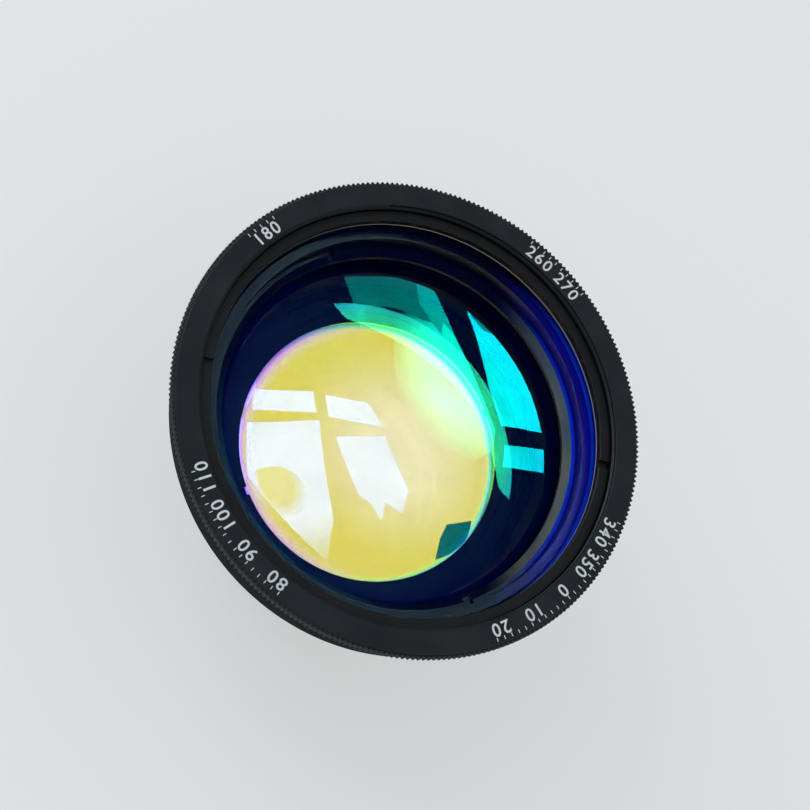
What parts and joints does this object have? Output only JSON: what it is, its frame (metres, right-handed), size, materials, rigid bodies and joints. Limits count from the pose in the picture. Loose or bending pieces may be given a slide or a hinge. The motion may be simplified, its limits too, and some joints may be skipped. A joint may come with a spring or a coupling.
{
  "type": "f theta scan lens",
  "caption": "Round f-theta scan lens with a knurled flange, a threaded land, a tapered barrel and coated glass elements behind a flat front window.",
  "frame": {"origin": "on the optical axis, in the plane of the rear nose's end face, on which the lens stands", "axes": "+Z along the optical axis from the rear nose out through the front window; X and Y across, with the front ring's slots 39 degrees from X"},
  "size_m": [0.09, 0.09, 0.0521],
  "materials": {
    "black_anodised": "turned aluminium, bead blasted and anodised satin black",
    "ring_anodised": "turned aluminium ring, anodised black",
    "window_glass": "flat fused silica window with an anti-reflection coating",
    "coated_glass": "polished optical glass with a coating that reflects gold, green and blue",
    "white_pad": "thin white plastic pad",
    "seal_rubber": "black rubber cord",
    "shim_steel": "thin steel shim",
    "screw_steel": "blackened steel"
  },
  "bodies": {
    "root": {"housing": "black_anodised", "front_retaining_ring": "ring_anodised", "window_pad": "white_pad", "protective_window": "window_glass", "window_seal": "seal_rubber", "front_lock_ring": "ring_anodised", "front_lens_pad": "white_pad", "front_lens": "coated_glass", "lens_spacer": "ring_anodised", "second_lens": "coated_glass", "second_lens_shim": "shim_steel", "rear_cell": "black_anodised", "cell_seal": "seal_rubber", "cell_grub_screws": "screw_steel", "third_lens_ring": "ring_anodised", "third_lens": "coated_glass", "glare_stop": "ring_anodised", "entrance_lens": "coated_glass", "rear_lens_pad": "white_pad", "rear_lock_ring": "ring_anodised", "mount_seal": "seal_rubber"}
  },
  "joints": []
}
